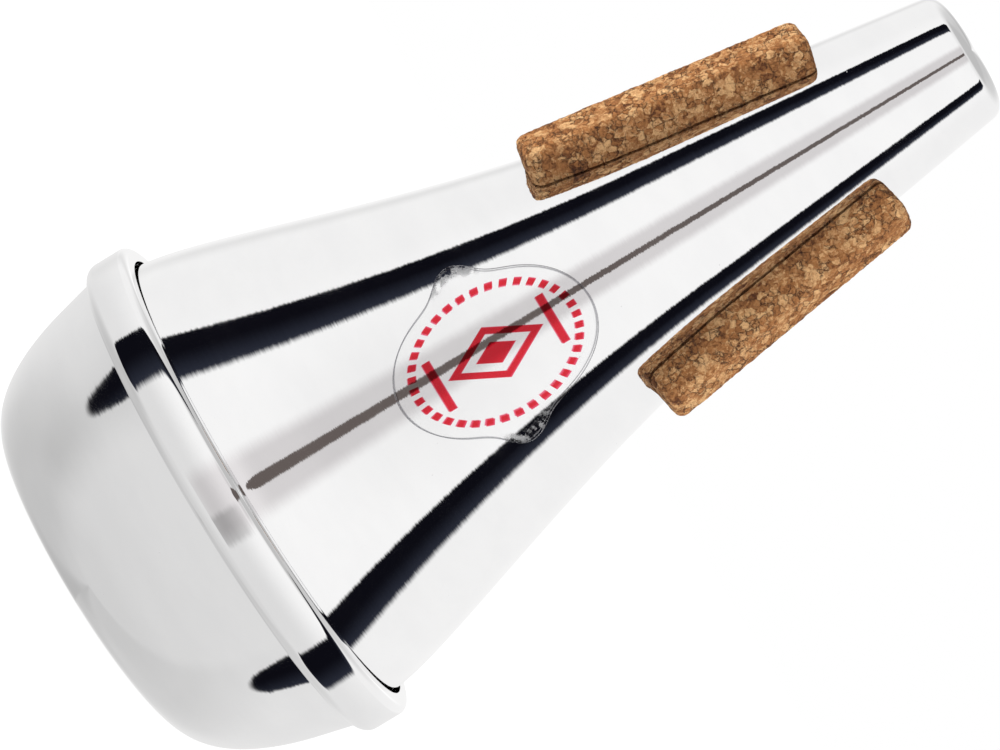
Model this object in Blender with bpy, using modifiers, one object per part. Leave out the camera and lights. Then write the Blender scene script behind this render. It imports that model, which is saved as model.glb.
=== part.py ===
"""Straight mute for a trumpet: a spun aluminium cone shut by a spun base cup, on three cork strips.

The mute stands on the flat of its cup, with its axis on +Z and its small open end at the top.
Sizes are in metres. A profile is a list of (radius, height) points.
"""
import math

import bmesh
import bpy

OBJECT_NAME = "trumpet_straight_mute"
ROUND_STEPS = 60
BEND_STEPS = 3

# Sheet metal, and the clearance between pieces that touch
WALL = 0.0008
FIT_GAP = 0.0003

# Base cup, from its flat up to the rolled lip
BASE_FLAT_RADIUS = 0.0268
CORNER_BASE_PULL = 0.0090
CORNER_WALL_PULL = 0.0107
CORNER_TOP_RADIUS = 0.0432
CORNER_TOP_HEIGHT = 0.0204
CORNER_STEPS = 8
BAND_FOOT_RADIUS = 0.0448
BAND_FOOT_HEIGHT = 0.0270
BAND_RADIUS = 0.0470
SHOULDER_ROUND = 0.0023
SHOULDER_STEPS = 4
LIP_HEIGHT = 0.0356
LIP_ROUND = 0.0015
LIP_GROOVE = 0.0008

# Cone, from its mouth down to the rim inside the band
TOTAL_HEIGHT = 0.1775
MOUTH_LIP_ROUND = 0.0033
MOUTH_LIP_STEPS = 5
TAPER_ANGLE = math.radians(8.9)
TAPER_START_RADIUS = 0.0202
TAPER_START_HEIGHT = 0.1223
FLARE_PULL = 0.0391
FLARE_STEPS = 12
RIM_RADIUS = 0.0429
RIM_ANGLE = math.radians(5.0)
RIM_PULL = 0.0132
FLANGE_BEND = 0.0005

# Cork strips, spaced evenly round the cone
CORK_NAMES = ("cork_strip_right", "cork_strip_back", "cork_strip_left")
CORK_CENTRE_HEIGHT = 0.1268
CORK_LENGTH = 0.0523
CORK_WIDTH = 0.0092
CORK_THICKNESS = 0.0064
CORK_EDGE_ROUND = 0.0018
CORK_EDGE_STEPS = 2
CORK_FIRST_ANGLE = math.radians(-29.0)

# Clear label on the front of the cone: an oval with two lobes, measured along the metal
LABEL_FILM = 0.0002
LABEL_CENTRE_ARC = 0.0022
LABEL_CENTRE_HEIGHT = 0.0819
LABEL_HALF_WIDTH = 0.0130
LABEL_HALF_LENGTH = 0.0180
LABEL_LOBE_REACH = 0.0037
LABEL_LOBE_SPREAD = math.radians(17.0)
LABEL_LOBE_ANGLES = (math.radians(-9.5), math.radians(181.0))
LABEL_STEPS = 96


def bezier(corners, steps):
    """Points of the cubic curve through four corner points, without its first point."""
    points = []
    for index in range(1, steps + 1):
        t = index / steps
        weights = ((1 - t) ** 3, 3 * (1 - t) ** 2 * t, 3 * (1 - t) * t ** 2, t ** 3)
        points.append(tuple(sum(w * corner[axis] for w, corner in zip(weights, corners)) for axis in (0, 1)))
    return points


def arc(centre, radius, start_angle, end_angle, steps):
    """Points of an arc, with both of its ends."""
    points = []
    for index in range(steps + 1):
        angle = start_angle + (end_angle - start_angle) * index / steps
        points.append((centre[0] + radius * math.cos(angle), centre[1] + radius * math.sin(angle)))
    return points


def direction(start, end):
    """Unit direction from one point to another."""
    run = (end[0] - start[0], end[1] - start[1])
    length = math.hypot(*run)
    return (run[0] / length, run[1] / length)


def offset(points, distance):
    """The path moved to its right-hand side by a distance, with mitred corners."""
    moved = []
    last = len(points) - 1
    for index, point in enumerate(points):
        leaving = direction(point, points[index + 1]) if index < last else direction(points[index - 1], point)
        arriving = direction(points[index - 1], point) if index > 0 else leaving
        side = (arriving[1] + leaving[1], -arriving[0] - leaving[0])
        scale = 2 * distance / (side[0] ** 2 + side[1] ** 2)
        moved.append((point[0] + side[0] * scale, point[1] + side[1] * scale))
    return moved


def flare_path():
    """Outside of the cone from the start of its taper down to the rim."""
    top = (TAPER_START_RADIUS, TAPER_START_HEIGHT)
    rim = (RIM_RADIUS, LIP_HEIGHT)
    top_pull = (top[0] + math.tan(TAPER_ANGLE) * FLARE_PULL, top[1] - FLARE_PULL)
    rim_pull = (rim[0] - math.tan(RIM_ANGLE) * RIM_PULL, rim[1] + RIM_PULL)
    return [top] + bezier((top, top_pull, rim_pull, rim), FLARE_STEPS)


def taper_radius(height):
    """Outside radius of the straight taper at a height."""
    return TAPER_START_RADIUS - math.tan(TAPER_ANGLE) * (height - TAPER_START_HEIGHT)


def flare_radius(height):
    """Outside radius of the cone at a height on its flare."""
    for upper, lower in zip(flare_path(), flare_path()[1:]):
        if lower[1] <= height:
            share = (height - lower[1]) / (upper[1] - lower[1])
            return lower[0] + (upper[0] - lower[0]) * share
    return RIM_RADIUS


def cone_path():
    """Outside of the cone from the mouth's rolled edge down to the rim."""
    lip_height = TOTAL_HEIGHT - MOUTH_LIP_ROUND
    lip_centre = (taper_radius(lip_height) - MOUTH_LIP_ROUND / math.cos(TAPER_ANGLE), lip_height)
    return arc(lip_centre, MOUTH_LIP_ROUND, math.pi / 2, TAPER_ANGLE, MOUTH_LIP_STEPS) + flare_path()


def material(name, colour, metallic, roughness):
    """A Principled material of one piece."""
    made = bpy.data.materials.new(name)
    made.use_nodes = True
    shader = made.node_tree.nodes["Principled BSDF"]
    shader.inputs["Base Color"].default_value = (*colour, 1.0)
    shader.inputs["Metallic"].default_value = metallic
    shader.inputs["Roughness"].default_value = roughness
    return made


def add_object(name, mesh, collection):
    """Link a new object with a mesh."""
    made = bpy.data.objects.new(name, mesh)
    collection.objects.link(made)
    return made


def turned(name, points, closed, collection):
    """A profile turned about the mute's axis."""
    edges = [(index, index + 1) for index in range(len(points) - 1)]
    if closed:
        edges.append((len(points) - 1, 0))
    mesh = bpy.data.meshes.new(name)
    mesh.from_pydata([(radius, 0.0, height) for radius, height in points], edges, [])
    made = add_object(name, mesh, collection)
    screw = made.modifiers.new("Turn", "SCREW")
    screw.steps = ROUND_STEPS
    screw.render_steps = ROUND_STEPS
    screw.use_merge_vertices = True
    screw.merge_threshold = 0.00001
    return made


def boolean(target, operation, cutter):
    """Cut or trim an object with a cutter."""
    cut = target.modifiers.new("Cut", "BOOLEAN")
    cut.operation = operation
    cut.solver = "EXACT"
    cut.object = cutter


def as_cutter(made):
    """Keep an object out of the finished mute."""
    made.hide_render = True
    made.display_type = "WIRE"
    return made


def build_base_cap(collection):
    """Cup with a flat base, a swept corner, a stepped band and a lip rolled in towards the cone."""
    draft = math.atan2(BAND_FOOT_RADIUS - CORNER_TOP_RADIUS, BAND_FOOT_HEIGHT - CORNER_TOP_HEIGHT)
    corner_start = (BASE_FLAT_RADIUS, 0.0)
    corner_top = (CORNER_TOP_RADIUS, CORNER_TOP_HEIGHT)
    base_pull = (BASE_FLAT_RADIUS + CORNER_BASE_PULL, 0.0)
    wall_pull = (
        CORNER_TOP_RADIUS - CORNER_WALL_PULL * math.sin(draft),
        CORNER_TOP_HEIGHT - CORNER_WALL_PULL * math.cos(draft),
    )
    shoulder_centre = (BAND_RADIUS - SHOULDER_ROUND, BAND_FOOT_HEIGHT + SHOULDER_ROUND)
    lip_centre = (BAND_RADIUS - LIP_ROUND, LIP_HEIGHT - LIP_ROUND)
    outside = [(0.0, 0.0), corner_start]
    outside += bezier((corner_start, base_pull, wall_pull, corner_top), CORNER_STEPS)
    outside += [(BAND_FOOT_RADIUS, BAND_FOOT_HEIGHT)]
    outside += arc(shoulder_centre, SHOULDER_ROUND, -math.pi / 2, 0.0, SHOULDER_STEPS)
    outside += arc(lip_centre, LIP_ROUND, 0.0, math.pi / 2, BEND_STEPS)
    outside += [(RIM_RADIUS + LIP_GROOVE, LIP_HEIGHT)]
    inside = offset(outside, -WALL)
    made = turned("base_cap", inside + outside[::-1], False, collection)
    made.data.materials.append(material("cup_aluminium", (0.90, 0.90, 0.91), 1.0, 0.16))


def build_cone(collection):
    """Open cone, its mouth edge rolled in and its rim turned out and up under the band's lip."""
    bend_outside = SHOULDER_ROUND - WALL - FIT_GAP
    bend_inside = bend_outside - WALL
    flange_top = BAND_FOOT_HEIGHT + WALL + FIT_GAP + WALL
    skirt_radius = BAND_RADIUS - WALL - FIT_GAP - WALL
    rim_centre = (RIM_RADIUS + FLANGE_BEND, flange_top + FLANGE_BEND)
    skirt_centre = (skirt_radius - bend_inside, flange_top + bend_inside)
    outside = cone_path()
    outside += arc(rim_centre, FLANGE_BEND, math.pi, 1.5 * math.pi, BEND_STEPS)
    outside += arc(skirt_centre, bend_inside, 1.5 * math.pi, 2 * math.pi, BEND_STEPS)
    outside += [(skirt_radius, LIP_HEIGHT - LIP_ROUND)]
    inside = offset(outside, WALL)
    made = turned("cone_shell", outside + inside[::-1], True, collection)
    made.data.materials.append(material("cone_aluminium", (0.91, 0.91, 0.92), 1.0, 0.08))


def build_cork_seat(collection):
    """Solid cone, a fitting gap larger than the shell, that shapes the undersides of the corks."""
    surface = offset(cone_path(), -FIT_GAP)
    points = [(0.0, surface[0][1])] + surface + [(0.0, surface[-1][1])]
    return as_cutter(turned("cork_seat_cutter", points, False, collection))


def build_cork(name, angle, seat, surface, collection):
    """Rounded cork bar that lies along the cone, with its underside cut to the cone."""
    depth = 2 * CORK_THICKNESS
    block = bmesh.new()
    bmesh.ops.create_cube(block, size=1.0)
    bmesh.ops.scale(block, vec=(depth, CORK_WIDTH, CORK_LENGTH), verts=block.verts)
    bmesh.ops.bevel(
        block,
        geom=block.edges[:],
        offset=CORK_EDGE_ROUND,
        segments=CORK_EDGE_STEPS,
        profile=0.5,
        affect="EDGES",
    )
    mesh = bpy.data.meshes.new(name)
    block.to_mesh(mesh)
    block.free()
    mesh.shade_smooth()
    mesh.set_sharp_from_angle(angle=math.radians(50))
    mesh.materials.append(surface)
    made = add_object(name, mesh, collection)
    out = taper_radius(CORK_CENTRE_HEIGHT) + FIT_GAP / math.cos(TAPER_ANGLE)
    made.location = (out * math.cos(angle), out * math.sin(angle), CORK_CENTRE_HEIGHT)
    made.rotation_euler = (0.0, -TAPER_ANGLE, angle)
    boolean(made, "DIFFERENCE", seat)


def label_reach(angle):
    """Distance from the label's middle to its edge at an angle."""
    reach = 1.0 / math.hypot(math.cos(angle) / LABEL_HALF_WIDTH, math.sin(angle) / LABEL_HALF_LENGTH)
    for lobe in LABEL_LOBE_ANGLES:
        away = math.remainder(angle - lobe, 2 * math.pi)
        reach += LABEL_LOBE_REACH * math.exp(-((away / LABEL_LOBE_SPREAD) ** 2))
    return reach


def build_label(collection, cutters):
    """Thin clear film that follows the cone, trimmed to its outline from the front."""
    surface = flare_path()
    film = offset(surface, -FIT_GAP - LABEL_FILM) + offset(surface, -FIT_GAP)[::-1]
    made = turned("label_film", film, True, collection)
    made.data.materials.append(material("clear_film", (0.93, 0.90, 0.90), 0.0, 0.10))
    outline = bmesh.new()
    bmesh.ops.create_cone(
        outline, cap_ends=True, segments=LABEL_STEPS, radius1=1.0, radius2=1.0, depth=BAND_RADIUS
    )
    for vert in outline.verts:
        angle = math.atan2(vert.co.y, vert.co.x)
        along = label_reach(angle) * math.sin(angle)
        radius = flare_radius(LABEL_CENTRE_HEIGHT + along)
        turn = (LABEL_CENTRE_ARC + label_reach(angle) * math.cos(angle)) / radius
        vert.co.x = radius * math.sin(turn)
        vert.co.y = along
    mesh = bpy.data.meshes.new("label_outline")
    outline.to_mesh(mesh)
    outline.free()
    cutter = as_cutter(add_object("label_outline_cutter", mesh, cutters))
    cutter.location = (0.0, -BAND_RADIUS / 2, LABEL_CENTRE_HEIGHT)
    cutter.rotation_euler = (math.pi / 2, 0.0, 0.0)
    boolean(made, "INTERSECT", cutter)


def main():
    """Build the mute from nothing."""
    for leftover in list(bpy.data.objects):
        bpy.data.objects.remove(leftover, do_unlink=True)
    collection = bpy.data.collections.new(OBJECT_NAME)
    cutters = bpy.data.collections.new("cutters")
    bpy.context.scene.collection.children.link(collection)
    bpy.context.scene.collection.children.link(cutters)
    build_base_cap(collection)
    build_cone(collection)
    seat = build_cork_seat(cutters)
    cork = material("cork", (0.52, 0.31, 0.16), 0.0, 0.85)
    for index, name in enumerate(CORK_NAMES):
        build_cork(name, CORK_FIRST_ANGLE + 2 * math.pi * index / len(CORK_NAMES), seat, cork, collection)
    build_label(collection, cutters)


main()
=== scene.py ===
import math

import bmesh
import bpy
from mathutils import Matrix, Vector


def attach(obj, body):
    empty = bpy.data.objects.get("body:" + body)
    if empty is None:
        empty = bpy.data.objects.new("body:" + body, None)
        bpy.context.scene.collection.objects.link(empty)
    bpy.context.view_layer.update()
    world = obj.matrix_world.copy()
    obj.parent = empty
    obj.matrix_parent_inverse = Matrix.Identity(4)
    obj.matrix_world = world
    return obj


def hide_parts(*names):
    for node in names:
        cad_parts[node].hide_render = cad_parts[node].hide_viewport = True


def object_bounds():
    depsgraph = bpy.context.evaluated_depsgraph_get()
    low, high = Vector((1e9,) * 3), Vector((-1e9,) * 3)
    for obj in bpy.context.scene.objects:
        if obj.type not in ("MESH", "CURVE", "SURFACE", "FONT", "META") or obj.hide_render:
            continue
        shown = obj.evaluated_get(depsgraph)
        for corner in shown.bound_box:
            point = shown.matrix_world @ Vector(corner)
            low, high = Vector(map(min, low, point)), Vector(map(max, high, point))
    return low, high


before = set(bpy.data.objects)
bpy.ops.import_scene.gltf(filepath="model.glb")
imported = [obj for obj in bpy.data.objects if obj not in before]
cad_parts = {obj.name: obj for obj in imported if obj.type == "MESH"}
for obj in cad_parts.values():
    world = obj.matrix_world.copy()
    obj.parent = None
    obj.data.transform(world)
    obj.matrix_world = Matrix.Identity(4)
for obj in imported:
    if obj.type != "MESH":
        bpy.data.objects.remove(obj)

CAD_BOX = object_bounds()

# Sheet metal and clearances, in metres as everywhere below
WALL = 0.0008
FIT_GAP = 0.0003

# Base cup: points are (radius, height)
BAND_RADIUS = CAD_BOX[1][0]
BASE_FLAT_RADIUS = 0.0268
CORNER_BASE_PULL = 0.0090
CORNER_WALL_PULL = 0.0107
CORNER_TOP = (0.0432, 0.0204)
BAND_FOOT = (0.0448, 0.0270)
SHOULDER_ROUND = 0.0023
LIP_HEIGHT = 0.0356
LIP_ROUND = 0.0015
LIP_GROOVE = 0.0008

# Cone
TOTAL_HEIGHT = CAD_BOX[1][2]
MOUTH_LIP_ROUND = 0.0033
TAPER_ANGLE = math.radians(8.9)
TAPER_START = (0.0202, 0.1223)
FLARE_PULL = 0.0391
RIM_RADIUS = 0.0429
RIM_ANGLE = math.radians(5.0)
RIM_PULL = 0.0132
FLANGE_BEND = 0.0005

# Steps round the mute and along each stretch of its profiles
ROUND_STEPS = 180
CORNER_STEPS = 40
SHOULDER_STEPS = 12
LIP_STEPS = 10
MOUTH_STEPS = 14
TAPER_STEPS = 24
FLARE_STEPS = 60
FLANGE_STEPS = 4
MERGE_DISTANCE = 0.000005

# Angles past which an edge stays sharp
TURNED_EDGE = math.radians(35)
FINISHED_EDGE = math.radians(50)

# Cork strips: node, angle round the axis and height of the middle
CORKS = (
    ("cork_strip_right", math.radians(-28.8), 0.1266),
    ("cork_strip_back", math.radians(91.0), 0.1270),
    ("cork_strip_left", math.radians(212.2), 0.1270),
)
CORK_LENGTH = 0.0523
CORK_WIDTH = 0.0092
CORK_THICKNESS = 0.0064
CORK_SLANT = math.radians(0.7)
CORK_EDGE_ROUND = 0.0018
CORK_GRAIN = 0.00027

# Uneven cork faces: the size of the bumps and how far they go in and out
CORK_BUMPS = ((0.0030, 0.00016), (0.0008, 0.00026))
CORK_BUMP_MIDDLE = 0.60

# Clear label, its outline measured along the metal from its middle
LABEL_FILM = 0.0002
LABEL_MIDDLE = (0.0022, 0.0819)
LABEL_HALF_WIDTH = 0.0130
LABEL_HALF_LENGTH = 0.0180
LABEL_RINGS = 30
LABEL_EDGE_STEPS = 144
LABEL_DASHES = 36
LOBE_REACH = 0.0037
LOBE_SPREAD = math.radians(17.0)
LOBE_ANGLES = (math.radians(-9.5), math.radians(181.0))

# Metal finishes: roughness, and how far the turned lines tilt the surface
CUP_ROUGHNESS = 0.035
CUP_LINE_TILT = 0.016
CONE_ROUGHNESS = 0.030
CONE_LINE_TILT = 0.014
DENT_DEPTH = 0.000004

# Depths of the other fine surfaces, and how far the cork's crumbs are warped
CORK_PIT_DEPTH = 0.0004
CORK_WARP = (0.0018, 0.0018, 0.0018)
FILM_WAVE_DEPTH = 0.00006

# Colours
METAL_DULL = (0.905, 0.905, 0.91)
METAL_BRIGHT = (0.93, 0.93, 0.933)
CORK_BARK = (0.110, 0.032, 0.008)
CORK_BROWN = (0.390, 0.160, 0.050)
CORK_TAN = (0.720, 0.420, 0.190)
# Painted shade: the near-black colour given to the cork's cracks and pits
CORK_HOLE_SHADE = (0.040, 0.014, 0.006)
FILM_EDGE = (0.50, 0.50, 0.52)
RED_INK = (0.86, 0.07, 0.15)
WHITE = (1.0, 1.0, 1.0)

# The photo's view: the axis rises to the right in the picture, its small end leaning to the camera
PICTURE = (1000, 750)
SENSOR_WIDTH = 36.0
FOCAL_PIXELS = 3800.0
AXIS_RISE = math.radians(31.2)
AXIS_LEAN = math.radians(2.56)
BASE_PIXEL = (94.9, 581.9)
BASE_DISTANCE = 0.6619

# Dark cards that only the metal shows. The bow and the fade of the foot are shares of the card's height
CARD_DISTANCE = 0.150
CARD_FULL_HEIGHT = 0.300
CARD_TOP = 0.262
CARD_FOOT_BOW = 0.11
CARD_FOOT_FADE = 0.02
CARD_SHEEN_START = 0.45
DARK_TONES = ((0.004, 0.004, 0.007), (0.026, 0.030, 0.046))
BROWN_TONES = ((0.135, 0.112, 0.105), (0.135, 0.112, 0.105))

# Each card's name, its left and right edge at the floor and at full height in degrees from the camera's
# side, the height of its foot, its left and right tone, and the shares of its width where the edges fade
CARDS = (
    ("left_dark_card", ((-77.0, -50.5), (-61.5, -43.5)), -0.049, DARK_TONES, (0.10, 0.14)),
    ("right_dark_card", ((63.5, 90.0), (48.0, 64.5)), -0.049, DARK_TONES, (0.12, 0.16)),
    ("centre_dark_card", ((-3.5, 3.0), (-2.7, 2.2)), 0.045, BROWN_TONES, (0.15, 0.15)),
)

# Floor and room. The floor's glow is only what the camera sees of it, and lights nothing
FLOOR_RADIUS = 4.0
FLOOR_EDGE_STEPS = 64
FLOOR_DROP = 0.0002
FLOOR_COLOUR = (0.95, 0.95, 0.95)
FLOOR_GLOW = 1.16
FLOOR_GLOW_SHARE = 0.80
ROOM_COLOUR = (0.95, 0.97, 1.0)
ROOM_STRENGTH = 0.55

# Lamps
LAMPS = (("left_lamp", (-0.80, -0.15, 0.35)), ("right_lamp", (0.80, -0.15, 0.10)))
LAMP_SIZE = 0.7
LAMP_POWER = 9.0


class Value:
    """A shader value, colour or vector. Sums of it add Math nodes."""

    def __init__(self, socket):
        self.socket = socket

    def node(self, kind, settings, sockets, output=0):
        """Add a node of any kind to the same tree and hand back one of its outputs."""
        made = self.socket.id_data.nodes.new(kind)
        for name, setting in settings.items():
            setattr(made, name, setting)
        for key, value in sockets.items():
            plug(made.inputs[key], value)
        return Value(made.outputs[output])

    def maths(self, operation, *values):
        """Add a Math node on the given values."""
        return self.node("ShaderNodeMath", {"operation": operation}, dict(enumerate(values)))

    def __add__(self, other):
        return self.maths("ADD", self, other)

    def __radd__(self, other):
        return self.maths("ADD", other, self)

    def __sub__(self, other):
        return self.maths("SUBTRACT", self, other)

    def __rsub__(self, other):
        return self.maths("SUBTRACT", other, self)

    def __mul__(self, other):
        return self.maths("MULTIPLY", self, other)

    def __rmul__(self, other):
        return self.maths("MULTIPLY", other, self)

    def __truediv__(self, other):
        return self.maths("DIVIDE", self, other)

    def __abs__(self):
        return self.maths("ABSOLUTE", self)

    def rise(self, low, high):
        """Smooth rise from 0 to 1 while this value goes from low to high."""
        settings = {"interpolation_type": "SMOOTHSTEP"}
        return self.node("ShaderNodeMapRange", settings, {"Value": self, "From Min": low, "From Max": high})

    def fall(self, low, high):
        """Smooth fall from 1 to 0 while this value goes from low to high."""
        return 1.0 - self.rise(low, high)

    def within(self, low, high, soft):
        """1 between two limits and 0 outside them, with soft edges."""
        return self.rise(low - soft, low + soft) * self.fall(high - soft, high + soft)

    def blend(self, first, second):
        """Colour between two others, with this value as the share of the second."""
        return self.node("ShaderNodeMix", {"data_type": "RGBA"}, {0: self, 6: first, 7: second}, 2)

    def part(self, index):
        """One number of this vector."""
        return self.node("ShaderNodeSeparateXYZ", {}, {"Vector": self}, index)

    def vector(self, operation, *values, output=0):
        """Add a Vector Math node on the given values."""
        return self.node("ShaderNodeVectorMath", {"operation": operation}, dict(enumerate(values)), output)

    def noise(self, scales, detail, roughness, output=0):
        """Cloudy noise on this place, with its own scale along each axis, in waves a metre."""
        stretched = self.vector("MULTIPLY", self, scales)
        sockets = {"Vector": stretched, "Scale": 1.0, "Detail": detail, "Roughness": roughness}
        return self.node("ShaderNodeTexNoise", {}, sockets, output)

    def cells(self, scale, output, feature="F1"):
        """Cells of unlike shapes packed round this place, so many a metre."""
        sockets = {"Vector": self, "Scale": scale}
        return self.node("ShaderNodeTexVoronoi", {"feature": feature}, sockets, output)

    def bump(self, depth, **sockets):
        """The surface's direction when this height stands out from it by up to a depth."""
        sockets.update({"Strength": 1.0, "Distance": depth, "Height": self})
        return self.node("ShaderNodeBump", {}, sockets)


def plug(socket, value):
    """Link a value to a socket, or set the socket to a number or a colour."""
    if isinstance(value, Value):
        socket.id_data.links.new(value.socket, socket)
    elif socket.type == "RGBA":
        socket.default_value = (*value, 1.0)
    else:
        socket.default_value = value


def new_material(name):
    """A Principled material, with its shader's inputs and its object coordinates."""
    made = bpy.data.materials.new(name)
    made.use_nodes = True
    shader = made.node_tree.nodes["Principled BSDF"]
    coordinates = made.node_tree.nodes.new("ShaderNodeTexCoord")
    return made, shader.inputs, Value(coordinates.outputs["Object"])


def spun_aluminium(name, roughness, line_tilt):
    """Spun and buffed aluminium: fine lines round it that feather reflections, and small nicks."""
    made, inputs, place = new_material(name)
    facing = place.node("ShaderNodeNewGeometry", {}, {}, "Normal")
    round_it = place.vector("CROSS_PRODUCT", (0.0, 0.0, 1.0), facing)
    fine = place.noise((25.0, 25.0, 5200.0), 2.0, 0.6)
    broad = place.noise((18.0, 18.0, 700.0), 2.0, 0.5)
    tilt = (fine - 0.5) * (2.0 * line_tilt) + (broad - 0.5) * (0.4 * line_tilt)
    sideways = place.node("ShaderNodeVectorMath", {"operation": "SCALE"}, {0: round_it, "Scale": tilt})
    lined = place.vector("NORMALIZE", place.vector("ADD", facing, sideways))
    dents = place.noise((150.0, 150.0, 260.0), 3.0, 0.6)
    plug(inputs["Normal"], dents.bump(DENT_DEPTH, Normal=lined))
    sparse = place.noise((260.0, 260.0, 260.0), 0.0, 0.5).rise(0.60, 0.66)
    nicks = place.cells(420.0, "Distance").fall(0.03, 0.07) * sparse
    haze = place.noise((60.0, 60.0, 160.0), 3.0, 0.6)
    plug(inputs["Roughness"], roughness + 0.03 * haze.rise(0.4, 0.75) + 0.4 * nicks)
    plug(inputs["Base Color"], haze.rise(0.3, 0.7).blend(METAL_DULL, METAL_BRIGHT))
    inputs["Metallic"].default_value = 1.0
    return made


def granulated_cork():
    """Pressed cork: crumbs of brown and tan in unlike sizes, dark flecks, cracks and small pits, with painted
    shade darkening the cracks and pits.
    """
    made, inputs, place = new_material("granulated_cork")
    shake = place.noise((700.0, 700.0, 700.0), 4.0, 0.7, "Color")
    warped = place.vector("MULTIPLY_ADD", shake, CORK_WARP, place)
    grains = warped.cells(760.0, "Color")
    crumbs = warped.cells(1900.0, "Color")
    seams = warped.cells(760.0, "Distance", "DISTANCE_TO_EDGE")
    broad = place.noise((170.0, 170.0, 170.0), 3.0, 0.6)
    fibres = place.noise((2400.0, 2400.0, 2400.0), 5.0, 0.75)
    open_seams = place.noise((380.0, 380.0, 380.0), 2.0, 0.6)
    tone = 0.36 * grains.part(0) + 0.24 * crumbs.part(0) + 0.55 * fibres + 0.55 * (broad - 0.5)
    brown = tone.rise(0.22, 0.56).blend(CORK_BARK, CORK_BROWN)
    grained = tone.rise(0.50, 0.86).blend(brown, CORK_TAN)
    cracks = seams.fall(0.01, 0.06) * open_seams.rise(0.46, 0.56)
    pits = fibres.fall(0.33, 0.40) * open_seams.rise(0.40, 0.52)
    holes_and_shade = place.maths("MINIMUM", cracks + pits, 1.0)
    # Painted shade: cracks and pits are coloured near black for the shade that falls in them. The same mask
    # also presses them in through the bump below
    plug(inputs["Base Color"], (0.80 * holes_and_shade).blend(grained, CORK_HOLE_SHADE))
    inputs["Roughness"].default_value = 0.92
    height = 0.4 * seams.rise(0.0, 0.2) + 0.7 * fibres + 0.3 * crumbs.part(1) - 0.5 * holes_and_shade
    plug(inputs["Normal"], height.bump(CORK_PIT_DEPTH))
    return made


def printed_film():
    """Clear wavy film with a red print: a ring of dashes round bars and a lozenge.

    The print is measured in shares of the label's half width and half length, from its middle.
    """
    made, inputs, place = new_material("printed_clear_film")
    across = (place.part(0) - LABEL_MIDDLE[0]) / LABEL_HALF_WIDTH
    along = (place.part(2) - LABEL_MIDDLE[1]) / LABEL_HALF_LENGTH
    reach = place.maths("SQRT", across * across + along * along)
    turn = place.maths("ARCTAN2", along, across)
    dashes = place.maths("SINE", turn * LABEL_DASHES).rise(-0.25, -0.05)
    ring = reach.within(0.78, 0.86, 0.006) * dashes
    diamond = 1.35 * abs(across) + abs(along)
    lozenge = diamond.within(0.37, 0.50, 0.008) + diamond.fall(0.20, 0.215)
    bars = abs(along).within(0.56, 0.64, 0.006) * abs(across).fall(0.345, 0.355)
    ink = place.maths("MINIMUM", ring + lozenge + bars, 1.0)
    outline = place.node("ShaderNodeUVMap", {"uv_map": "outline"}, {}, "UV")
    out = 2.0 * place.vector("DISTANCE", outline, (0.5, 0.5, 0.0), output="Value")
    clear = out.rise(0.982, 0.994).blend(WHITE, FILM_EDGE)
    plug(inputs["Base Color"], ink.blend(clear, RED_INK))
    folds = place.noise((1100.0, 1100.0, 1100.0), 3.0, 0.6).rise(0.50, 0.56)
    crinkle = out.rise(0.84, 0.93) * abs(across).rise(0.92, 1.08) * folds
    plug(inputs["Roughness"], 0.5 * crinkle)
    inputs["Transmission Weight"].default_value = 1.0
    inputs["IOR"].default_value = 1.40
    plug(inputs["Normal"], place.noise((230.0, 230.0, 230.0), 1.0, 0.4).bump(FILM_WAVE_DEPTH))
    return made


def select_only(piece):
    """Make one object the selected and active one."""
    bpy.ops.object.select_all(action="DESELECT")
    piece.select_set(True)
    bpy.context.view_layer.objects.active = piece


def added(name):
    """The object that an operator has just added, under its new name."""
    piece = bpy.context.object
    piece.name = name
    return piece


def between(start, end, share):
    """Point on the straight line from one point to another."""
    return tuple(first + (last - first) * share for first, last in zip(start, end))


def bezier(corners, steps):
    """Points of the cubic curve through four corner points, without its first point."""
    points = []
    for index in range(1, steps + 1):
        t = index / steps
        weights = ((1 - t) ** 3, 3 * (1 - t) ** 2 * t, 3 * (1 - t) * t ** 2, t ** 3)
        points.append(tuple(sum(w * corner[axis] for w, corner in zip(weights, corners)) for axis in (0, 1)))
    return points


def arc(centre, radius, start_angle, end_angle, steps):
    """Points of an arc, with both of its ends."""
    points = []
    for index in range(steps + 1):
        angle = start_angle + (end_angle - start_angle) * index / steps
        points.append((centre[0] + radius * math.cos(angle), centre[1] + radius * math.sin(angle)))
    return points


def direction(start, end):
    """Unit direction from one point to another."""
    run = (end[0] - start[0], end[1] - start[1])
    length = math.hypot(*run)
    return (run[0] / length, run[1] / length)


def offset(points, distance):
    """The path moved to its right-hand side by a distance, with mitred corners."""
    moved = []
    last = len(points) - 1
    for index, point in enumerate(points):
        leaving = direction(point, points[index + 1]) if index < last else direction(points[index - 1], point)
        arriving = direction(points[index - 1], point) if index > 0 else leaving
        side = (arriving[1] + leaving[1], -arriving[0] - leaving[0])
        scale = 2 * distance / (side[0] ** 2 + side[1] ** 2)
        moved.append((point[0] + side[0] * scale, point[1] + side[1] * scale))
    return moved


def taper_radius(height):
    """Outside radius of the straight taper at a height."""
    return TAPER_START[0] - math.tan(TAPER_ANGLE) * (height - TAPER_START[1])


def flare_path():
    """Outside of the cone from the start of its taper down to the rim."""
    rim = (RIM_RADIUS, LIP_HEIGHT)
    top_pull = (TAPER_START[0] + math.tan(TAPER_ANGLE) * FLARE_PULL, TAPER_START[1] - FLARE_PULL)
    rim_pull = (RIM_RADIUS - math.tan(RIM_ANGLE) * RIM_PULL, LIP_HEIGHT + RIM_PULL)
    return [TAPER_START] + bezier((TAPER_START, top_pull, rim_pull, rim), FLARE_STEPS)


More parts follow.
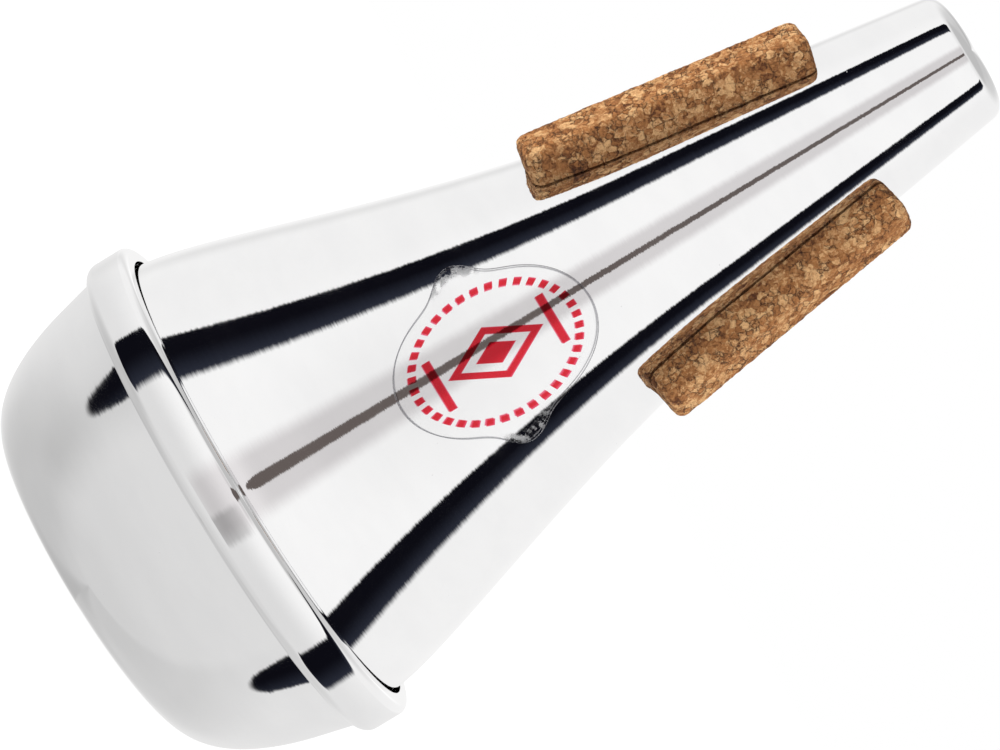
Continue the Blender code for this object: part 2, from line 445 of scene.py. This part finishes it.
def cone_path():
    """Outside of the cone from the mouth's rolled edge down to the rim."""
    lip_height = TOTAL_HEIGHT - MOUTH_LIP_ROUND
    lip_centre = (taper_radius(lip_height) - MOUTH_LIP_ROUND / math.cos(TAPER_ANGLE), lip_height)
    lip = arc(lip_centre, MOUTH_LIP_ROUND, math.pi / 2, TAPER_ANGLE, MOUTH_STEPS)
    taper = [between(lip[-1], TAPER_START, index / TAPER_STEPS) for index in range(1, TAPER_STEPS)]
    return lip + taper + flare_path()


def cone_radius(height):
    """Outside radius of the cone at a height on its flare."""
    path = flare_path()
    for upper, lower in zip(path, path[1:]):
        if lower[1] <= height:
            share = (height - lower[1]) / (upper[1] - lower[1])
            return between(lower, upper, share)[0]
    return RIM_RADIUS


def turned(name, points, closed):
    """Draw a profile by extruding a point along it, and spin it round the mute's axis."""
    bpy.ops.object.select_all(action="DESELECT")
    bpy.ops.mesh.primitive_plane_add(size=1.0)
    piece = added(name)
    bpy.ops.object.mode_set(mode="EDIT")
    bpy.ops.mesh.merge(type="CENTER")
    bpy.ops.transform.translate(value=(points[0][0], 0.0, points[0][1]))
    for before, after in zip(points, points[1:]):
        move = (after[0] - before[0], 0.0, after[1] - before[1])
        bpy.ops.mesh.extrude_region_move(TRANSFORM_OT_translate={"value": move})
    if closed:
        drawn = bmesh.from_edit_mesh(piece.data)
        for vert in drawn.verts:
            vert.select_set(len(vert.link_edges) == 1)
        bmesh.update_edit_mesh(piece.data)
        bpy.ops.mesh.edge_face_add()
    bpy.ops.mesh.select_all(action="SELECT")
    bpy.ops.mesh.spin(steps=ROUND_STEPS, angle=2 * math.pi, center=(0, 0, 0), axis=(0, 0, 1))
    bpy.ops.mesh.select_all(action="SELECT")
    bpy.ops.mesh.remove_doubles(threshold=MERGE_DISTANCE)
    bpy.ops.mesh.normals_make_consistent(inside=False)
    bpy.ops.object.mode_set(mode="OBJECT")
    bpy.ops.object.shade_smooth_by_angle(angle=TURNED_EDGE)
    return piece


def apply_modifiers(piece):
    """Apply every modifier of a piece, and smooth what isn't an edge."""
    select_only(piece)
    for modifier in list(piece.modifiers):
        bpy.ops.object.modifier_apply(modifier=modifier.name)
    bpy.ops.object.shade_smooth_by_angle(angle=FINISHED_EDGE)


def make_cup():
    """The base cup, with its stepped band and rolled lip."""
    draft = math.atan2(BAND_FOOT[0] - CORNER_TOP[0], BAND_FOOT[1] - CORNER_TOP[1])
    corner_start = (BASE_FLAT_RADIUS, 0.0)
    base_pull = (BASE_FLAT_RADIUS + CORNER_BASE_PULL, 0.0)
    wall_pull = (
        CORNER_TOP[0] - CORNER_WALL_PULL * math.sin(draft),
        CORNER_TOP[1] - CORNER_WALL_PULL * math.cos(draft),
    )
    shoulder_centre = (BAND_RADIUS - SHOULDER_ROUND, BAND_FOOT[1] + SHOULDER_ROUND)
    lip_centre = (BAND_RADIUS - LIP_ROUND, LIP_HEIGHT - LIP_ROUND)
    outside = [(0.0, 0.0), (BASE_FLAT_RADIUS / 2, 0.0), corner_start]
    outside += bezier((corner_start, base_pull, wall_pull, CORNER_TOP), CORNER_STEPS)
    outside += [BAND_FOOT]
    outside += arc(shoulder_centre, SHOULDER_ROUND, -math.pi / 2, 0.0, SHOULDER_STEPS)
    outside += arc(lip_centre, LIP_ROUND, 0.0, math.pi / 2, LIP_STEPS)
    outside += [(RIM_RADIUS + LIP_GROOVE, LIP_HEIGHT)]
    inside = offset(outside, -WALL)
    return turned("base_cup", inside + outside[::-1], False)


def make_cone():
    """The spun cone, with its rolled mouth and the flange under the band's lip."""
    bend_inside = SHOULDER_ROUND - WALL - FIT_GAP - WALL
    flange_top = BAND_FOOT[1] + WALL + FIT_GAP + WALL
    skirt_radius = BAND_RADIUS - WALL - FIT_GAP - WALL
    rim_centre = (RIM_RADIUS + FLANGE_BEND, flange_top + FLANGE_BEND)
    skirt_centre = (skirt_radius - bend_inside, flange_top + bend_inside)
    outside = cone_path()
    outside += arc(rim_centre, FLANGE_BEND, math.pi, 1.5 * math.pi, FLANGE_STEPS)
    outside += arc(skirt_centre, bend_inside, 1.5 * math.pi, 2 * math.pi, FLANGE_STEPS)
    outside += [(skirt_radius, LIP_HEIGHT - LIP_ROUND)]
    inside = offset(outside, WALL)
    return turned("spun_cone", outside + inside[::-1], True)


def make_cork_seat():
    """Solid cone that cuts the undersides of the corks, taken away afterwards."""
    surface = offset(cone_path(), -FIT_GAP)
    return turned("cork_seat", [(0.0, surface[0][1])] + surface + [(0.0, surface[-1][1])], False)


def roughen(piece, size, strength):
    """Push a surface in and out by a cloudy pattern."""
    pattern = bpy.data.textures.new(piece.name + "_pattern", "CLOUDS")
    pattern.noise_scale = size
    push = piece.modifiers.new("Push", "DISPLACE")
    push.texture = pattern
    push.texture_coords = "LOCAL"
    push.strength = strength
    push.mid_level = CORK_BUMP_MIDDLE


def make_cork(name, angle, height, seat):
    """A cork bar with uneven faces, its underside cut to the cone."""
    bpy.ops.object.select_all(action="DESELECT")
    bpy.ops.mesh.primitive_cube_add(size=1.0)
    piece = added(name + "_bar")
    bpy.ops.object.mode_set(mode="EDIT")
    bpy.ops.transform.resize(value=(2 * CORK_THICKNESS, CORK_WIDTH, CORK_LENGTH))
    bpy.ops.mesh.bevel(offset=CORK_EDGE_ROUND, segments=3, affect="EDGES")
    bpy.ops.object.mode_set(mode="OBJECT")
    out = taper_radius(height) + FIT_GAP / math.cos(TAPER_ANGLE)
    place = Matrix.Translation((out * math.cos(angle), out * math.sin(angle), height))
    turn = Matrix.Rotation(angle, 4, "Z") @ Matrix.Rotation(-TAPER_ANGLE - CORK_SLANT, 4, "Y")
    piece.data.transform(place @ turn)
    remesh = piece.modifiers.new("Grain", "REMESH")
    remesh.mode = "VOXEL"
    remesh.voxel_size = CORK_GRAIN
    for size, strength in CORK_BUMPS:
        roughen(piece, size, strength)
    cut = piece.modifiers.new("Seat", "BOOLEAN")
    cut.object = seat
    cut.solver = "EXACT"
    apply_modifiers(piece)
    return piece


def outline_reach(angle):
    """Distance from the label's middle to its edge: an oval with a lobe on each side."""
    reach = 1.0 / math.hypot(math.cos(angle) / LABEL_HALF_WIDTH, math.sin(angle) / LABEL_HALF_LENGTH)
    for lobe in LOBE_ANGLES:
        away = math.remainder(angle - lobe, 2 * math.pi)
        reach += LOBE_REACH * math.exp(-((away / LOBE_SPREAD) ** 2))
    return reach


def make_label():
    """Clear film in an oval with two lobes, laid on the cone."""
    bpy.ops.object.select_all(action="DESELECT")
    bpy.ops.mesh.primitive_circle_add(vertices=LABEL_EDGE_STEPS, radius=1.0, fill_type="NOTHING")
    piece = added("clear_label")
    bpy.ops.object.mode_set(mode="EDIT")
    for ring in range(LABEL_RINGS - 1, 0, -1):
        bpy.ops.mesh.extrude_edges_move()
        shrink = ring / (ring + 1)
        bpy.ops.transform.resize(value=(shrink, shrink, 1.0))
    bpy.ops.mesh.merge(type="CENTER")
    bpy.ops.object.mode_set(mode="OBJECT")
    spread = piece.data.uv_layers.new(name="outline")
    for loop in piece.data.loops:
        flat = piece.data.vertices[loop.vertex_index].co
        spread.data[loop.index].uv = (0.5 + 0.5 * flat.x, 0.5 + 0.5 * flat.y)
    for vert in piece.data.vertices:
        reach = outline_reach(math.atan2(vert.co.y, vert.co.x))
        height = LABEL_MIDDLE[1] + vert.co.y * reach
        radius = cone_radius(height)
        turn = (LABEL_MIDDLE[0] + vert.co.x * reach) / radius
        out = radius + FIT_GAP
        vert.co = (out * math.sin(turn), -out * math.cos(turn), height)
    if piece.data.polygons[0].normal.y > 0:
        piece.data.flip_normals()
    film = piece.modifiers.new("Film", "SOLIDIFY")
    film.thickness = LABEL_FILM
    film.offset = 1.0
    apply_modifiers(piece)
    return piece


def finish_piece(piece, material, node):
    """Give a piece its material and put it in the place of its solid."""
    piece.data.materials.clear()
    piece.data.materials.append(material)
    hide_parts(node)
    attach(piece, "root")


def empty_shader(owner, end_kind):
    """Clear a node tree and give it an end node and a light path. Hands back the end's input and the path."""
    owner.use_nodes = True
    tree = owner.node_tree
    tree.nodes.clear()
    return tree.nodes.new(end_kind).inputs["Surface"], tree.nodes.new("ShaderNodeLightPath").outputs


def card_colour(name, tones, fades):
    """A plain glow that goes from one tone to another, clear past the card's soft edges and rounded foot."""
    colour = bpy.data.materials.new(name)
    end, _ = empty_shader(colour, "ShaderNodeOutputMaterial")
    spread = Value(colour.node_tree.nodes.new("ShaderNodeTexCoord").outputs["UV"])
    across = spread.part(0)
    bow = (2.0 * across - 1.0) * (2.0 * across - 1.0)
    shown = across.rise(0.0, fades[0]) * across.fall(1.0 - fades[1], 1.0)
    shown = shown * (spread.part(1) - CARD_FOOT_BOW * bow).rise(0.0, CARD_FOOT_FADE)
    tone = across.rise(CARD_SHEEN_START, 1.0).blend(*tones)
    clear = shown.node("ShaderNodeBsdfTransparent", {}, {})
    plain = shown.node("ShaderNodeEmission", {}, {"Color": tone})
    plug(end, shown.node("ShaderNodeMixShader", {}, {0: shown, 1: clear, 2: plain}))
    return colour


def make_card(name, edges, foot, tones, fades):
    """A dark card beside the mute that only the metal shows."""
    bpy.ops.object.select_all(action="DESELECT")
    bpy.ops.mesh.primitive_grid_add(x_subdivisions=1, y_subdivisions=1, size=1.0)
    card = added(name)
    for vert in card.data.vertices:
        height = CARD_TOP if vert.co.y > 0 else foot
        side = 1 if vert.co.x > 0 else 0
        angle = math.radians(between(edges[0], edges[1], height / CARD_FULL_HEIGHT)[side])
        vert.co = (CARD_DISTANCE * math.sin(angle), -CARD_DISTANCE * math.cos(angle), height)
    card.data.materials.append(card_colour(name + "_colour", tones, fades))
    card.visible_camera = False
    card.visible_diffuse = False
    card.visible_shadow = False


def make_floor():
    """White floor that keeps the mute's shadow and shows white."""
    bpy.ops.object.select_all(action="DESELECT")
    bpy.ops.mesh.primitive_circle_add(
        vertices=FLOOR_EDGE_STEPS, radius=FLOOR_RADIUS, fill_type="NGON", location=(0, 0, -FLOOR_DROP)
    )
    floor = added("floor")
    paper = bpy.data.materials.new("white_paper")
    end, light = empty_shader(paper, "ShaderNodeOutputMaterial")
    seen = Value(light["Is Camera Ray"]) + Value(light["Is Glossy Ray"]) + Value(light["Is Transmission Ray"])
    matt = seen.node("ShaderNodeBsdfDiffuse", {}, {"Color": FLOOR_COLOUR})
    bright = seen.node("ShaderNodeEmission", {}, {"Color": WHITE, "Strength": FLOOR_GLOW})
    plug(end, seen.node("ShaderNodeMixShader", {}, {0: FLOOR_GLOW_SHARE * seen, 1: matt, 2: bright}))
    floor.data.materials.append(paper)
    floor.visible_glossy = False
    floor.visible_transmission = False


def room_in_metal(side, lift):
    """Brightness and tint of the room in one direction, as the metal mirrors it.

    side is the angle round the mute from the camera's side, positive to the right, and lift is the
    angle over the horizon, both in degrees. The room is white, with a greyer ground and ceiling.
    """
    front = abs(side).fall(66.0, 96.0)
    low = lift.fall(-9.0, -2.0)
    deep = lift.fall(-48.0, -24.0)
    deepest = lift.fall(-72.0, -50.0)
    below = low * (0.13 + 0.09 * front) + deep * (0.10 - 0.05 * front) + 0.05 * deepest
    above_front = 0.11 * lift.rise(24.0, 36.0) + 0.33 * lift.rise(36.0, 48.0)
    above_side = 0.05 + 0.26 * lift.rise(24.0, 50.0) + 0.07 * lift.rise(50.0, 66.0)
    above = above_front * front + above_side * (1.0 - front)
    left_low = 0.14 * side.fall(-100.0, -40.0) * lift.fall(-34.0, -14.0) * lift.rise(-95.0, -45.0)
    right_low = 0.05 * side.rise(70.0, 84.0) * lift.fall(-34.0, -20.0)
    back = abs(side).rise(160.0, 180.0) * (0.40 * lift.rise(6.0, 24.0) - 0.08 * lift.fall(-40.0, -20.0))
    far_left = 0.13 * side.within(-158.0, -144.0, 8.0) * lift.rise(-14.0, 4.0)
    smear = 0.07 * side.within(-92.0, -62.0, 16.0) * lift.within(-52.0, -28.0, 10.0)
    middle = side.within(-16.0, 14.0, 5.0) * lift.rise(-14.0, -9.0) * lift.fall(28.0, 42.0)
    panel = side.within(3.0, 17.0, 2.0) * lift.within(-14.0, -3.0, 1.5)
    level = 1.0 - below - above - left_low - right_low + back - far_left - smear
    level = level - (0.16 + 0.13 * lift.rise(6.0, 18.0)) * middle - 0.22 * panel
    return level, middle.blend((1.0, 0.996, 0.992), (1.0, 0.968, 0.972))


def make_world():
    """White surroundings: plain on matt surfaces, and greyer above and below in the metal."""
    world = bpy.data.worlds.new("white_studio")
    bpy.context.scene.world = world
    end, light = empty_shader(world, "ShaderNodeOutputWorld")
    heading = Value(world.node_tree.nodes.new("ShaderNodeTexCoord").outputs["Generated"])
    side = heading.maths("ARCTAN2", heading.part(0), -1.0 * heading.part(1)) * (180.0 / math.pi)
    lift = heading.maths("ARCSINE", heading.part(2)) * (180.0 / math.pi)
    level, tint = room_in_metal(side, lift)
    mirrored = Value(light["Is Glossy Ray"]) + Value(light["Is Transmission Ray"])
    matt = level.node("ShaderNodeBackground", {}, {"Color": ROOM_COLOUR, "Strength": ROOM_STRENGTH})
    white = level.node("ShaderNodeBackground", {}, {"Color": WHITE, "Strength": 1.0})
    in_metal = level.node("ShaderNodeBackground", {}, {"Color": tint, "Strength": level})
    around = level.node("ShaderNodeMixShader", {}, {0: Value(light["Is Camera Ray"]), 1: matt, 2: white})
    plug(end, level.node("ShaderNodeMixShader", {}, {0: mirrored, 1: around, 2: in_metal}))


def make_lamp(name, place):
    """A soft area lamp aimed at the middle of the mute, which the metal doesn't mirror."""
    lamp = bpy.data.lights.new(name, "AREA")
    lamp.energy = LAMP_POWER
    lamp.size = LAMP_SIZE
    made = bpy.data.objects.new(name, lamp)
    bpy.context.scene.collection.objects.link(made)
    made.location = place
    aim = Vector((0.0, 0.0, TOTAL_HEIGHT / 2)) - Vector(place)
    made.rotation_euler = aim.to_track_quat("-Z", "Y").to_euler()
    made.visible_glossy = False
    made.visible_transmission = False


def make_camera():
    """The photo's camera, rolled so that the upright mute lies across the picture."""
    lens = bpy.data.cameras.new("camera")
    lens.sensor_width = SENSOR_WIDTH
    lens.lens = FOCAL_PIXELS * SENSOR_WIDTH / PICTURE[0]
    camera = bpy.data.objects.new("camera", lens)
    bpy.context.scene.collection.objects.link(camera)
    bpy.context.scene.camera = camera
    level = math.cos(AXIS_LEAN)
    up_axis = Vector((math.cos(AXIS_RISE) * level, math.sin(AXIS_RISE) * level, math.sin(AXIS_LEAN)))
    front = (Vector((0.0, 0.0, 1.0)) - up_axis * up_axis.z).normalized()
    # Rows are the mute's +X, +Y and +Z as the camera sees them
    turn = Matrix((up_axis.cross(front), -front, up_axis))
    scale = BASE_DISTANCE / FOCAL_PIXELS
    across = (BASE_PIXEL[0] - PICTURE[0] / 2) * scale
    down = (BASE_PIXEL[1] - PICTURE[1] / 2) * scale
    base = Vector((across, -down, -BASE_DISTANCE))
    camera.matrix_world = Matrix.Translation(-(turn @ base)) @ turn.to_4x4()


make_camera()
cup_metal = spun_aluminium("buffed_cup_aluminium", CUP_ROUGHNESS, CUP_LINE_TILT)
cone_metal = spun_aluminium("polished_cone_aluminium", CONE_ROUGHNESS, CONE_LINE_TILT)
cork = granulated_cork()
finish_piece(make_cup(), cup_metal, "base_cap")
finish_piece(make_cone(), cone_metal, "cone_shell")
cork_seat = make_cork_seat()
for node, angle, height in CORKS:
    finish_piece(make_cork(node, angle, height, cork_seat), cork, node)
bpy.data.objects.remove(cork_seat, do_unlink=True)
finish_piece(make_label(), printed_film(), "label_film")

make_floor()
make_world()
for card in CARDS:
    make_card(*card)
for lamp in LAMPS:
    make_lamp(*lamp)
bpy.context.scene.view_settings.view_transform = "Standard"
